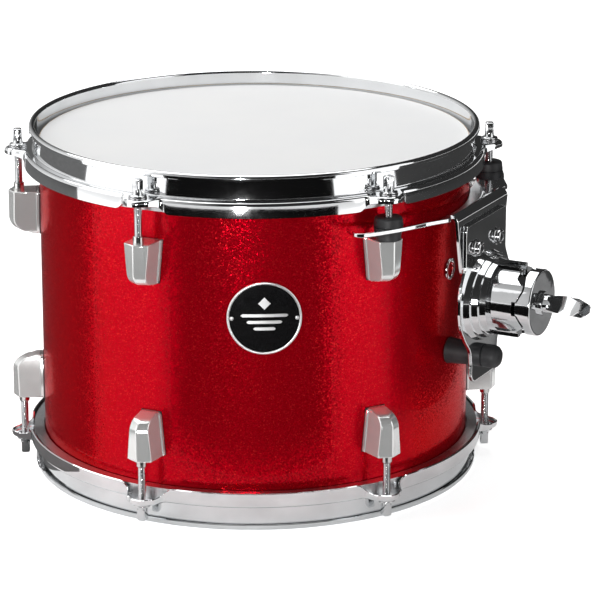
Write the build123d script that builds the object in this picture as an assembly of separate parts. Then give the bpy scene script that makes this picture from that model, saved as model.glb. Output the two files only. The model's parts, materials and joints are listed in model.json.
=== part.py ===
"""Rack tom, 12 x 9 inches: shell, two tensioned heads, twelve lugs and a suspended arm clamp.

Frame: millimetres, +Z up. The origin is the centre of the lower rim plane, on the shell axis.
The badge faces -Y. An azimuth is measured from -Y towards +X. Each radial piece is first built
with its radial direction along +X and then turned about the shell axis to its azimuth.
"""
from build123d import *
from math import cos, radians, sin, sqrt
import os

# ---- driving dimensions, mm -------------------------------------------------------------------
shell_diameter = 304.8        # outside, over the wrap
shell_depth = 228.6           # bearing edge to bearing edge
shell_ply = 6.0
wrap_thickness = 0.6
wrap_margin = 3.0             # wrap stops this far short of each bearing edge
edge_land = 1.6               # width of the bearing edge's flat
lug_count = 6
first_lug_azimuth = -30.0

rim_above_edge = 10.7         # rim plane beyond the bearing edge
hoop_steel = 1.6
hoop_collar_gap = 2.6         # wrap to the inside of the hoop's collar
rim_lip = 2.6                 # rim turned outwards
ear_plane = 17.5              # rim plane to the face that the rods press on
hoop_skirt = 11.5             # depth of the outer, down-turned flange
skirt_gap = 1.5               # flesh hoop to the inside of the skirt
ear_reach = 9.5               # ear beyond the rod axis
ear_half_width = 13.5
ear_lip = 4.2

film_thickness = 0.36
film_gap = 0.2                # film collar to the wrap
flesh_width = 7.0
flesh_height = 8.0
flesh_gap = 0.3
film_tuck = 3.6               # film caught inside the flesh hoop

rod_axis_reach = 14.6         # wrap to the axis of each rod
rod_diameter = 5.5            # 7/32 inch, 24 threads per inch
rod_below_flange = 52.0
rod_head_below_rim = 4.5      # the key head stops short of the rim plane
rod_key_square = 5.9
rod_key_height = 7.6
rod_flange_diameter = 12.0
rod_flange_thickness = 1.1
washer_diameter = 12.6
washer_thickness = 1.2
washer_clearance = 0.25       # radial, washer on its rod
running_clearance = 0.05      # radial, rod in its nut, stud in its nut
hole_clearance = 0.45         # radial, plain clearance holes
turning_gap = 0.05            # between faces that turn on each other

lug_end_below_rim = 48.5      # rod end of the casing, from its rim plane
lug_length = 31.0
lug_reach = 22.3              # casing beyond the wrap
lug_half_width = 9.4          # at the rod end
lug_far_half_width = 6.4
lug_crease = 4.2              # depth of the two front facets
lug_end_radius = 11.0
lug_wall = 2.4
lug_base_lip = 1.3            # base flange wider than the casing
lug_base_thickness = 2.0
gasket_thickness = 0.8
nut_barrel_diameter = 9.4
nut_barrel_length = 19.0
nut_neck_wall = 0.95
nut_neck_height = 5.0         # stands out of the casing
spring_leaf = 0.6
spring_width = 5.0
spring_end_gap = 0.6
lug_screw_diameter = 4.0
lug_screw_spacing = 19.0
lug_screw_depth = 6.5         # screw tip beyond the wrap
lug_screw_head = 8.0
lug_screw_head_height = 2.6

badge_diameter = 50.6
badge_below_rim = 100.0
badge_thickness = 0.9
badge_rim_width = 1.7
badge_rim_height = 0.35
badge_nail_offset = 21.5
badge_nail_diameter = 1.4
badge_nail_head = 2.8
badge_nail_length = 7.0
badge_nail_cap = 0.5

vent_below_rim = 90.0
vent_bore = 10.0
vent_tube_wall = 0.6
vent_flange_diameter = 15.0
vent_flange_thickness = 1.2

arm_steel = 2.8
arm_above_lug = 9.5           # lug end to the upper face of the suspension arm
arm_gap = 4.2                 # wrap to the arm's inner edge
arm_beyond_rod = 10.0         # rod axis to the arm's outer edge
arm_overhang = 10.0           # degrees past each rod
arm_bend_radius = 5.5
arm_corner_radius = 6.0
tab_half_width = 42.5
tab_lower_half_width = 33.5
tab_below_plate_top = 35.6
plate_standoff = 24.8         # wrap to the plate's inner face
plate_steel = 2.8
plate_below_arm = 9.4         # arm's upper face to the plate's upper edge
plate_corner_radius = 4.0
plate_half_width = 34.0
plate_bulge_half_width = 43.0
plate_bulge_half_height = 33.5
plate_tongue_half_width = 21.5
plate_tongue_length = 58.5    # clamp axis to the tongue's end
tongue_corner_radius = 9.0
plate_bolt_spacing = 34.0
plate_bolt_drop = 18.6        # below the plate's upper edge
plate_bolt_diameter = 6.0
plate_bolt_head = 10.0
plate_bolt_head_height = 3.6
plate_bolt_washer = 1.0       # height of the washer face, and how far it stands out
plate_bolt_hole_gap = 0.2

isolator_diameter = 19.6
isolator_above_arm = 6.4
isolator_neck_diameter = 15.0
isolator_arm_gap = 0.2        # radial, arm hole round the rubber neck

bumper_above_tongue = 14.5    # tongue's end to the bumper's axis
bumper_diameter = 16.6
bumper_outside = 12.4
bumper_neck_diameter = 9.0
bumper_foot_diameter = 19.0

clamp_drop = 56.6             # plate's upper edge to the clamp axis
clamp_neck_diameter = 47.2
clamp_cap_diameter = 46.4
cap_depth = 9.4               # arm rod's axis to the cap's face
cap_edge_round = 1.2
arm_rod_diameter = 10.5       # vertical rod that the clamp grips
arm_rod_standoff = 33.0       # plate's outer face to the arm rod's axis
arm_rod_clearance = 0.05
seam_gap = 0.8
stud_diameter = 8.0           # M8, pitch 1.25
stud_length = 23.6            # beyond the cap's face
eye_wall = 2.6
eye_height = 7.0
cap_boss_diameter = 17.0
cap_boss_height = 2.4
spigot_diameter = 6.0
spigot_offset = 26.0
spigot_head_diameter = 9.5
wing_turn = -20.0             # resting angle of the wings about the stud
wing_hub_diameter = 13.0
wing_hub_length = 9.5
wing_length = 29.0
wing_spread = 10.5
wing_height = 13.0
wing_thickness = 2.8

# ---- places worked out from the driving dimensions ----------------------------------------------
wrap_radius = shell_diameter / 2
shell_radius = wrap_radius - wrap_thickness
shell_inner_radius = shell_radius - shell_ply
overall_height = shell_depth + 2 * rim_above_edge
shell_bottom = rim_above_edge
shell_top = rim_above_edge + shell_depth
collar_inner = wrap_radius + hoop_collar_gap
collar_outer = collar_inner + hoop_steel
rim_outer = collar_outer + rim_lip
film_inner = wrap_radius + film_gap
film_outer = film_inner + film_thickness
flesh_inner = film_outer + flesh_gap
flesh_outer = flesh_inner + flesh_width
skirt_inner = flesh_outer + skirt_gap
skirt_outer = skirt_inner + hoop_steel
flesh_top = overall_height - ear_plane - hoop_steel
flesh_bottom = flesh_top - flesh_height
lug_end = overall_height - lug_end_below_rim
lug_far = lug_end - lug_length
lug_back = wrap_radius + gasket_thickness
rod_circle_radius = wrap_radius + rod_axis_reach
rod_offset_angle = 180.0 / lug_count      # each carrying rod, from the mount's own azimuth
lug_azimuths = [first_lug_azimuth + 2 * rod_offset_angle * i for i in range(lug_count)]
badge_azimuth = first_lug_azimuth + rod_offset_angle
mount_azimuth = badge_azimuth + 2 * rod_offset_angle
lug_screw_heights = [lug_end - 0.5 * (lug_length + s * lug_screw_spacing) for s in (-1, 1)]
nut_neck_diameter = rod_diameter + 2 * nut_neck_wall
badge_height = overall_height - badge_below_rim
vent_height = overall_height - vent_below_rim
arm_top = lug_end + arm_above_lug
arm_inner_radius = wrap_radius + arm_gap
arm_outer_radius = rod_circle_radius + arm_beyond_rod
isolator_top = arm_top + isolator_above_arm
plate_inner_face = wrap_radius + plate_standoff
plate_outer_face = plate_inner_face + plate_steel
plate_top = arm_top - plate_below_arm
plate_bolt_height = plate_top - plate_bolt_drop
tab_bottom = plate_top - tab_below_plate_top
clamp_height = plate_top - clamp_drop
clamp_neck_radius = clamp_neck_diameter / 2
plate_bottom = clamp_height - plate_tongue_length
bumper_height = plate_bottom + bumper_above_tongue
arm_rod_axis = plate_outer_face + arm_rod_standoff
clamp_cap_face = arm_rod_axis + cap_depth
stud_end = clamp_cap_face + stud_length
far = 2 * stud_end            # beyond every piece

os.makedirs("parts", exist_ok=True)


# ---- helpers --------------------------------------------------------------------------------------
def turned(shape, azimuth):
    """Turn a shape built along +X to an azimuth measured from -Y towards +X."""
    return Rotation(0, 0, azimuth - 90) * shape


def flipped(shape):
    """Carry a piece of the upper end to the lower end of the drum."""
    return mirror(shape, about=Plane.XY.offset(overall_height / 2))


def ring(inner, outer, low, high):
    tube = Cylinder(outer, high - low) - Cylinder(inner, high - low)
    return Pos(0, 0, (low + high) / 2) * tube


def disc_along_x(radius, start, end, across=0.0, height=0.0):
    """A round bar along +X from start to end."""
    bar = Rotation(0, 90, 0) * Cylinder(radius, end - start)
    return Pos((start + end) / 2, across, height) * bar


def through_wall(radius, across, height):
    """A round bar along +X, from well inside the shell wall to well outside it."""
    return disc_along_x(radius, shell_inner_radius - shell_ply, rod_circle_radius, across, height)


def upright(radius, low, high, out=0.0, across=0.0):
    """A round bar along +Z from low to high."""
    return Pos(out, across, (low + high) / 2) * Cylinder(radius, high - low)


def block(x_range, y_range, z_range):
    size = [b - a for a, b in (x_range, y_range, z_range)]
    middle = [(a + b) / 2 for a, b in (x_range, y_range, z_range)]
    return Pos(*middle) * Box(*size)


def spun(points):
    """Revolve a closed outline of (radius, height) points about the shell axis."""
    outline = Plane.XZ * make_face(Polyline(*points, close=True))
    return revolve(outline, Axis.Z)


def side_profile(points, half_width):
    """Extrude an outline of (x, z) points both ways along Y."""
    outline = Plane.XZ * make_face(Polyline(*points, close=True))
    return extrude(outline, half_width, both=True)


def front_profile(face, start, end):
    """Extrude a face drawn as (across, height) along +X from start to end."""
    plane = Plane(origin=(start, 0, 0), x_dir=(0, 1, 0), z_dir=(1, 0, 0))
    return extrude(plane * face, end - start)


def save(shape, node):
    shape.label = node
    export_step(shape, f"parts/{node}.step")


def save_group(shapes, node):
    save(Compound(children=[part for shape in shapes for part in shape.solids()]), node)


# ---- shell, wrap and heads ---------------------------------------------------------------------------
def lug_screw_holes(radius):
    holes = []
    for azimuth in lug_azimuths:
        for height in lug_screw_heights:
            for level in (height, overall_height - height):
                holes.append(turned(through_wall(radius, 0, level), azimuth))
    return holes


def wall_holes():
    """Every hole through the shell wall."""
    holes = lug_screw_holes(lug_screw_diameter / 2 + hole_clearance)
    vent = through_wall(vent_bore / 2 + vent_tube_wall, 0, vent_height)
    holes.append(turned(vent, mount_azimuth))
    for side in (-1, 1):
        nail = through_wall(badge_nail_diameter / 2, side * badge_nail_offset, badge_height)
        holes.append(turned(nail, badge_azimuth))
    return holes


def make_shell():
    bevel = shell_ply - edge_land
    outline = [
        (shell_radius, shell_bottom), (shell_radius, shell_top),
        (shell_radius - edge_land, shell_top), (shell_inner_radius, shell_top - bevel),
        (shell_inner_radius, shell_bottom + bevel), (shell_radius - edge_land, shell_bottom),
    ]
    return spun(outline) - wall_holes()


def make_wrap():
    wrap = ring(shell_radius, wrap_radius, shell_bottom + wrap_margin, shell_top - wrap_margin)
    return wrap - wall_holes()


def make_film():
    """Drum head film: flat over the bearing edge, then down the shell into its hoop."""
    tuck = flesh_top - flesh_height / 2
    outside = shell_top + film_thickness
    bend = film_thickness + 0.8
    outline = [
        (0, shell_top), (film_inner - 0.6, shell_top), (film_inner, shell_top - 0.6),
        (film_inner, tuck), (film_outer + film_tuck, tuck),
        (film_outer + film_tuck, tuck + film_thickness), (film_outer, tuck + film_thickness),
        (film_outer, outside - bend), (film_outer - bend, outside), (0, outside),
    ]
    return spun(outline)


def make_flesh_hoop():
    """Aluminium hoop that holds the film's edge in a groove."""
    groove_low = flesh_top - flesh_height / 2 - 0.05
    groove_high = groove_low + film_thickness + 0.1
    hoop = ring(flesh_inner, flesh_outer, flesh_bottom, flesh_top)
    return hoop - ring(flesh_inner - 1, film_outer + film_tuck + 0.05, groove_low, groove_high)


# ---- counter hoops --------------------------------------------------------------------------------------
def ear_face(shrink=0.0):
    """Outline of one ear seen along the shell axis, wide at the hoop and round at the rod."""
    tip = ear_reach - shrink
    half = ear_half_width - shrink
    root = Polyline((collar_inner + hoop_steel / 2, -half), (skirt_outer - shrink, -half),
                    (skirt_outer - shrink, half), (collar_inner + hoop_steel / 2, half), close=True)
    fan = make_hull([
        Edge.make_circle(tip, Plane((rod_circle_radius, 0))),
        Edge.make_line((skirt_outer - hoop_steel - shrink, -half),
                       (skirt_outer - hoop_steel - shrink, half)),
    ])
    return make_face(root) + fan


def make_hoop():
    """Triple-flanged steel hoop: rim lip, collar, flat flange with ears, outer skirt."""
    top = overall_height
    step = top - ear_plane
    skirt_end = step - hoop_skirt
    outline = [
        (collar_inner, top), (rim_outer - 0.5, top), (rim_outer, top - 0.5),
        (rim_outer, top - hoop_steel), (collar_outer + 0.6, top - hoop_steel),
        (collar_outer, top - hoop_steel - 0.8), (collar_outer, step + 0.8),
        (collar_outer + 0.8, step), (skirt_outer - 1.2, step), (skirt_outer, step - 1.2),
        (skirt_outer, skirt_end), (skirt_inner, skirt_end), (skirt_inner, step - hoop_steel),
        (collar_inner, step - hoop_steel),
    ]
    hoop = spun(outline)
    window_half = ear_half_width - hoop_steel
    for azimuth in lug_azimuths:
        window = make_face(Polyline(
            (-window_half, step - hoop_steel), (window_half, step - hoop_steel),
            (window_half + 4.5, skirt_end - 1), (-window_half - 4.5, skirt_end - 1), close=True))
        hoop -= turned(front_profile(window, skirt_inner - 0.05, skirt_outer + 2), azimuth)
    for azimuth in lug_azimuths:
        plate = extrude(Pos(0, 0, step - ear_lip) * ear_face(), ear_lip)
        hollow = extrude(Pos(0, 0, step - ear_lip) * ear_face(hoop_steel), ear_lip - hoop_steel)
        hole = upright(rod_diameter / 2 + hole_clearance, step - 10, step + 5, rod_circle_radius)
        inside = ring(0, skirt_inner, step - ear_lip - 1, step - hoop_steel)
        hoop += turned(plate - hollow - inside, azimuth)
        hoop -= turned(hole, azimuth)
    return hoop


# ---- lugs, nuts and tension rods ------------------------------------------------------------------------
def make_lug():
    """Hollow casing: two front facets meeting in a crease, tapered, with a rounded far end."""
    front = wrap_radius + lug_reach
    back = wrap_radius - 3
    taper = 3.0
    corner = Polyline((back, lug_far), (front, lug_far + taper), (front, lug_end),
                      (back, lug_end), close=True)
    profile = make_face(corner)
    round_at = profile.vertices().filter_by(lambda v: v.X > front - 1 and v.Y < lug_far + 5)
    profile = fillet(round_at, lug_end_radius)
    body = extrude(Plane.XZ * profile, lug_half_width + 2, both=True)
    outline = make_face(Polyline(
        (-lug_far_half_width, lug_far - 1), (lug_far_half_width, lug_far - 1),
        (lug_half_width, lug_end + 1), (-lug_half_width, lug_end + 1), close=True))
    body &= front_profile(outline, back, front + 1)
    facets = make_face(Polyline(
        (back, -lug_half_width - 1), (front - lug_crease, -lug_half_width), (front, 0),
        (front - lug_crease, lug_half_width), (back, lug_half_width + 1), close=True))
    body &= extrude(Pos(0, 0, lug_far - 1) * facets, lug_length + 2)
    lip = make_face(Polyline(
        (-lug_far_half_width - lug_base_lip, lug_far), (lug_far_half_width + lug_base_lip, lug_far),
        (lug_half_width + lug_base_lip, lug_end), (-lug_half_width - lug_base_lip, lug_end),
        close=True))
    flange = front_profile(lip, back, lug_back + lug_base_thickness)
    body += flange
    body -= ring(0, lug_back, lug_far - 5, lug_end + 5)
    return body - lug_hollows()


def lug_hollows():
    """Nut chamber, its way out through the back, the rod hole and the screw holes."""
    nut_radius = nut_barrel_diameter / 2 + 0.2
    chamber_top = lug_end - lug_wall
    chamber = upright(nut_radius, chamber_top - nut_barrel_length - 0.2, chamber_top,
                      rod_circle_radius)
    middle = sum(lug_screw_heights) / 2
    half = (lug_screw_spacing - lug_screw_diameter) / 2 - lug_wall
    way_in = block((lug_back - 4, rod_circle_radius), (-nut_radius, nut_radius),
                   (middle - half, middle + half))
    hole = upright(nut_neck_diameter / 2 + 0.2, chamber_top - 1, lug_end + 1, rod_circle_radius)
    hollows = chamber + way_in + hole
    for height in lug_screw_heights:
        hollows += disc_along_x(lug_screw_diameter / 2, lug_back - 4,
                                wrap_radius + lug_screw_depth, 0, height)
    return hollows


def make_nut():
    """Swivel nut: barrel inside the casing, plain neck standing out of it."""
    chamber_top = lug_end - lug_wall
    barrel = upright(nut_barrel_diameter / 2, chamber_top - nut_barrel_length, chamber_top,
                     rod_circle_radius)
    neck = upright(nut_neck_diameter / 2, chamber_top, lug_end + nut_neck_height,
                   rod_circle_radius)
    bore = upright(rod_diameter / 2 + running_clearance, lug_far - 5,
                   lug_end + nut_neck_height + 1, rod_circle_radius)
    return barrel + neck - bore


def make_nut_spring():
    """Bowed leaf that presses the nut barrel away from the shell."""
    crown = rod_circle_radius - nut_barrel_diameter / 2
    middle = sum(lug_screw_heights) / 2
    half = (lug_screw_spacing - lug_screw_diameter) / 2 - lug_wall - spring_end_gap
    flat = half / 3
    above = [(lug_back, half), (crown, flat), (crown, -flat), (lug_back, -half)]
    below = [(lug_back, 1.5 * spring_leaf - half), (crown - spring_leaf, 0.6 * spring_leaf - flat),
             (crown - spring_leaf, flat - 0.6 * spring_leaf), (lug_back, half - 1.5 * spring_leaf)]
    points = [(x, middle + z) for x, z in above + below]
    return side_profile(points, spring_width / 2)


def make_gasket():
    outline = make_face(Polyline(
        (-lug_far_half_width - lug_base_lip, lug_far), (lug_far_half_width + lug_base_lip, lug_far),
        (lug_half_width + lug_base_lip, lug_end), (-lug_half_width - lug_base_lip, lug_end),
        close=True))
    pad = front_profile(outline, wrap_radius - 3, lug_back + 1)
    pad &= ring(wrap_radius, lug_back, lug_far - 5, lug_end + 5)
    for height in lug_screw_heights:
        pad -= disc_along_x(lug_screw_diameter / 2 + hole_clearance, wrap_radius - 4,
                            lug_back + 2, 0, height)
    return pad


def make_lug_screw(height):
    """Pan-head screw put in from inside the shell; its head rests on the inner wall."""
    seat = sqrt(shell_inner_radius ** 2 - (lug_screw_head / 2) ** 2)
    shank = disc_along_x(lug_screw_diameter / 2, seat, wrap_radius + lug_screw_depth, 0, height)
    head = disc_along_x(lug_screw_head / 2, seat - lug_screw_head_height, seat, 0, height)
    head = fillet(head.edges().filter_by(GeomType.CIRCLE).sort_by(Axis.X)[0], 1.2)
    slot = block((seat - lug_screw_head_height - 1, seat - lug_screw_head_height + 1.2),
                 (-0.6, 0.6), (height - lug_screw_head, height + lug_screw_head))
    return shank + head - slot


def make_washer():
    seat = overall_height - ear_plane + turning_gap
    washer = ring(rod_diameter / 2 + washer_clearance, washer_diameter / 2,
                  seat, seat + washer_thickness)
    return Pos(rod_circle_radius, 0, 0) * washer


def make_rod():
    """Tension rod: square key head, coned flange, long shank down into the swivel nut."""
    flange_low = overall_height - ear_plane + washer_thickness + 2 * turning_gap
    flange_high = flange_low + rod_flange_thickness
    key_top = overall_height - rod_head_below_rim
    key_low = key_top - rod_key_height
    flange = upright(rod_flange_diameter / 2, flange_low, flange_high)
    cone_height = key_low - flange_high
    cone = Pos(0, 0, flange_high + cone_height / 2) * Cone(
        rod_flange_diameter / 2 - 0.8, rod_key_square / 2 + 0.5, cone_height)
    key = Pos(0, 0, (key_low + key_top) / 2 - 0.5) * Box(
        rod_key_square, rod_key_square, rod_key_height + 1)
    key = chamfer(key.edges().filter_by(Axis.Z), 0.9)
    key = chamfer(key.faces().sort_by(Axis.Z)[-1].edges(), 0.6)
    shank = upright(rod_diameter / 2, flange_low - rod_below_flange, flange_low)
    shank = chamfer(shank.edges().sort_by(Axis.Z)[0], 0.8)
    return Pos(rod_circle_radius, 0, 0) * (flange + cone + key + shank)


# ---- badge and vent ----------------------------------------------------------------------------------------
def make_badge():
    """Thin disc bent to the shell, with a raised edge and a sunk face."""
    face = through_wall(badge_diameter / 2, 0, badge_height)
    well = through_wall(badge_diameter / 2 - badge_rim_width, 0, badge_height)
    top = wrap_radius + badge_thickness
    low, high = badge_height - badge_diameter, badge_height + badge_diameter
    badge = face & ring(wrap_radius, top + badge_rim_height, low, high)
    badge -= well & ring(top, top + 2 * badge_rim_height, low, high)
    for side in (-1, 1):
        badge -= through_wall(badge_nail_diameter / 2, side * badge_nail_offset, badge_height)
    return badge


def make_badge_nail(side):
    across = side * badge_nail_offset
    top = sqrt((wrap_radius + badge_thickness) ** 2 - across ** 2)
    seat = sqrt((wrap_radius + badge_thickness) ** 2
                - (badge_nail_offset - badge_nail_head / 2) ** 2)
    shank = disc_along_x(badge_nail_diameter / 2, top - badge_nail_length, seat, across,
                         badge_height)
    cap = disc_along_x(badge_nail_head / 2, seat, seat + badge_nail_cap, across, badge_height)
    return shank + cap


def make_vent_grommet():
    tube_outer = vent_bore / 2 + vent_tube_wall
    inside = shell_inner_radius - 1.2
    outside = wrap_radius + vent_flange_thickness
    grommet = disc_along_x(tube_outer, inside, outside, 0, vent_height)
    flange = disc_along_x(vent_flange_diameter / 2, wrap_radius - 3, outside, 0, vent_height)
    flange = fillet(flange.edges().filter_by(GeomType.CIRCLE).sort_by(Axis.X)[-1], 0.7)
    roll = disc_along_x(tube_outer + 1.2, inside, shell_inner_radius + 2, 0, vent_height)
    roll &= ring(0, shell_inner_radius, vent_height - 20, vent_height + 20)
    flange -= ring(0, wrap_radius, vent_height - 20, vent_height + 20)
    grommet += flange + roll
    return grommet - disc_along_x(vent_bore / 2, inside - 1, outside + 1, 0, vent_height)


# ---- suspension arm, plate and rubbers ---------------------------------------------------------------------
def polar(radius, degrees):
    return (radius * cos(radians(degrees)), radius * sin(radians(degrees)))


def make_arm():
    """Bent steel arm: a curved shelf on the two upper lugs, with a tab turned down in the middle."""
    end_angle = rod_offset_angle + arm_overhang
    tab_face = plate_inner_face
    bend_start = tab_face - arm_bend_radius
    inner_arc = ThreePointArc(polar(arm_inner_radius, -end_angle), (arm_inner_radius, 0),
                              polar(arm_inner_radius, end_angle))
    outer_arc = ThreePointArc(polar(arm_outer_radius, end_angle), (arm_outer_radius, 0),
                              polar(arm_outer_radius, -end_angle))
    ends = [Line(inner_arc @ 1, outer_arc @ 0), Line(outer_arc @ 1, inner_arc @ 0)]
    sector = make_face([inner_arc, outer_arc] + ends)
    sector = fillet(sector.vertices(), arm_corner_radius)
    bent_part = block((bend_start, far), (-tab_half_width, tab_half_width), (0, far))
    shelf = extrude(Pos(0, 0, arm_top - arm_steel) * sector, arm_steel) - bent_part
    centre_low = arm_top - arm_bend_radius
    outer = ThreePointArc((bend_start, arm_top),
                          (bend_start + arm_bend_radius * cos(radians(45)),
                           centre_low + arm_bend_radius * sin(radians(45))),
                          (tab_face, centre_low))
    small = arm_bend_radius - arm_steel
    inner = ThreePointArc((tab_face - arm_steel, centre_low),
                          (bend_start + small * cos(radians(45)),
                           centre_low + small * sin(radians(45))),
                          (bend_start, arm_top - arm_steel))
    lines = [Line((tab_face, centre_low), (tab_face, tab_bottom)),
             Line((tab_face, tab_bottom), (tab_face - arm_steel, tab_bottom)),
             Line((tab_face - arm_steel, tab_bottom), (tab_face - arm_steel, centre_low)),
             Line((bend_start, arm_top - arm_steel), (bend_start, arm_top))]
    tab = extrude(Plane.XZ * make_face([outer, inner] + lines), tab_half_width, both=True)
    trim = make_face(Polyline(
        (-tab_half_width, arm_top + 1), (-tab_half_width, centre_low),
        (-tab_lower_half_width, tab_bottom), (tab_lower_half_width, tab_bottom),
        (tab_half_width, centre_low), (tab_half_width, arm_top + 1), close=True))
    tab &= front_profile(trim, 0, far)
    arm = shelf + tab
    for side in (-1, 1):
        out, across = polar(rod_circle_radius, side * rod_offset_angle)
        arm -= upright(isolator_neck_diameter / 2, arm_top - 10, arm_top + 10, out, across)
        arm -= disc_along_x(plate_bolt_diameter / 2, tab_face - 20, tab_face + 5,
                            side * plate_bolt_spacing / 2, plate_bolt_height)
    return arm


def make_plate():
    """Outer plate bolted to the arm's tab: square top, wide middle behind the clamp, tongue."""
    top = Pos(0, (plate_top + clamp_height) / 2) * Rectangle(
        2 * plate_half_width, plate_top - clamp_height)
    top = fillet(top.vertices().group_by(Axis.Y)[-1], plate_corner_radius)
    bulge = Pos(0, clamp_height) * Ellipse(plate_bulge_half_width, plate_bulge_half_height)
    tongue = Pos(0, (plate_bottom + clamp_height) / 2) * Rectangle(
        2 * plate_tongue_half_width, clamp_height - plate_bottom)
    tongue = fillet(tongue.vertices().group_by(Axis.Y)[0], tongue_corner_radius)
    outline = top + bulge + tongue
    plate = front_profile(outline, plate_inner_face, plate_outer_face)
    for side in (-1, 1):
        plate -= disc_along_x(plate_bolt_diameter / 2 + plate_bolt_hole_gap, plate_inner_face - 1,
                              plate_outer_face + 1, side * plate_bolt_spacing / 2,
                              plate_bolt_height)
        plate -= disc_along_x(spigot_diameter / 2, plate_inner_face - 1, plate_outer_face + 1,
                              side * spigot_offset, clamp_height)
    plate -= disc_along_x(bumper_neck_diameter / 2, plate_inner_face - 1, plate_outer_face + 1,
                          0, bumper_height)
    return plate


def make_plate_bolt(side):
    """Socket button bolt with its washer face, threaded into the arm's tab."""
    across = side * plate_bolt_spacing / 2
    tip = plate_inner_face - arm_steel - 5.0
    bolt = disc_along_x(plate_bolt_diameter / 2, tip, plate_outer_face, across, plate_bolt_height)
    seat = plate_outer_face + plate_bolt_washer
    collar = disc_along_x(plate_bolt_head / 2 + plate_bolt_washer, plate_outer_face, seat, across,
                          plate_bolt_height)
    head = disc_along_x(plate_bolt_head / 2, seat, seat + plate_bolt_head_height, across,
                        plate_bolt_height)
    head = fillet(head.edges().filter_by(GeomType.CIRCLE).sort_by(Axis.X)[-1], 1.6)
    socket = front_profile(Pos(across, plate_bolt_height) * RegularPolygon(2.4, 6),
                           plate_outer_face + 2.2, plate_outer_face + 6)
    return bolt + collar + head - socket


def make_isolator(side):
    """Rubber grommet: it sits on the lug, and a groove holds the arm."""
    out, across = polar(rod_circle_radius, side * rod_offset_angle)
    body = upright(isolator_diameter / 2, lug_end, isolator_top)
    body = fillet(body.edges().filter_by(GeomType.CIRCLE).sort_by(Axis.Z)[-1], 1.6)
    groove = ring(isolator_neck_diameter / 2 - isolator_arm_gap, isolator_diameter,
                  arm_top - arm_steel, arm_top)
    bore = upright(nut_neck_diameter / 2 + 0.2, lug_end - 1, lug_end + nut_neck_height + 0.6)
    through = upright(rod_diameter / 2 + hole_clearance, lug_end - 1, isolator_top + 1)
    return Pos(out, across, 0) * (body - groove - bore - through)


def make_bumper():
    """Rubber bumper through the plate's tongue; its foot bears on the shell."""
    outer = disc_along_x(bumper_diameter / 2, plate_outer_face, plate_outer_face + bumper_outside,
                         0, bumper_height)
    outer = fillet(outer.edges().filter_by(GeomType.CIRCLE).sort_by(Axis.X)[-1], 3.2)
    neck = disc_along_x(bumper_neck_diameter / 2, plate_inner_face - 2, plate_outer_face + 1, 0,
                        bumper_height)
    foot_length = plate_inner_face - wrap_radius + 4
    foot = Pos(plate_inner_face - foot_length / 2, 0, bumper_height) * Rotation(0, 90, 0) * Cone(
        bumper_foot_diameter / 2, bumper_diameter / 2 - 1, foot_length)
    foot -= ring(0, wrap_radius, bumper_height - 20, bumper_height + 20)
    return outer + neck + foot


# ---- clamp ----------------------------------------------------------------------------------------------------
jaw_step = 5.0                # half height of the square notch at the seam's tip
jaw_crest = 12.4              # half height of the jaw's crest
jaw_rise = 6.2                # crest beyond the notch floor
jaw_foot = 19.0               # half height where the jaw has fallen back


def seam_points(floor, crest_out):
    """Upper half of the seam between base and cap, from the axis outwards, as (x, height)."""
    return [
        (floor, 0), (floor, jaw_step), (floor + 3.0, jaw_step), (floor + crest_out, jaw_crest),
        (floor + crest_out, jaw_crest + 2.2), (floor + 0.2, jaw_foot),
        (floor + 0.2, clamp_neck_radius + 8),
    ]


def beyond_seam(points):
    """Everything on the outer side of a seam, as a block running right across the clamp."""
    upper = [(x, clamp_height + z) for x, z in points]
    lower = [(x, clamp_height - z) for x, z in reversed(points[1:])]
    outline = upper + [(far, upper[-1][1]), (far, lower[0][1])] + lower
    return side_profile(outline, clamp_neck_radius + 5)


neck_floor = arm_rod_axis - 4.0


def rod_way(radius):
    return upright(radius, clamp_height - 60, clamp_height + 60, arm_rod_axis)


def eye_pocket(radius, half_height):
    return upright(radius, clamp_height - half_height, clamp_height + half_height, arm_rod_axis)


def make_clamp_base():
    """Die-cast base: stepped oval flange, round neck, jaws and half of the rod's channel."""
    steps = [(38.8, 31.0, 37.0, 29.8, 4.0), (34.0, 28.8, 32.6, 27.8, 4.0),
             (29.6, 26.6, 28.4, 25.8, 4.0)]
    base = None
    start = plate_outer_face
    for wide, tall, top_wide, top_tall, rise in steps:
        low = Plane(origin=(start, 0, clamp_height), x_dir=(0, 1, 0), z_dir=(1, 0, 0))
        high = low.offset(rise)
        layer = loft([low * Ellipse(wide, tall), high * Ellipse(top_wide, top_tall)])
        base = layer if base is None else base + layer
        start += rise
    base += disc_along_x(clamp_neck_radius, start, clamp_cap_face - 2, 0, clamp_height)
    for side in (-1, 1):
        rib = block((start - 1, neck_floor - 1), (-7.5, 7.5),
                    sorted((clamp_height + side * (clamp_neck_radius - 3),
                            clamp_height + side * (clamp_neck_radius + 1.4))))
        keyway = block((start + 4, clamp_cap_face), (-3.2, 3.2),
                       sorted((clamp_height + side * (clamp_neck_radius - 2.5),
                               clamp_height + side * (clamp_neck_radius + 3))))
        base += rib
        base -= keyway
    base -= beyond_seam(seam_points(neck_floor, jaw_rise))
    base -= rod_way(arm_rod_diameter / 2 + arm_rod_clearance)
    base -= eye_pocket(arm_rod_diameter / 2 + eye_wall, eye_height / 2)
    for side in (-1, 1):
        across = side * spigot_offset
        base += disc_along_x(spigot_diameter / 2, plate_inner_face, plate_outer_face + 1, across,
                             clamp_height)
        base += disc_along_x(spigot_head_diameter / 2, plate_inner_face - 1.6, plate_inner_face,
                             across, clamp_height)
    return base


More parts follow.
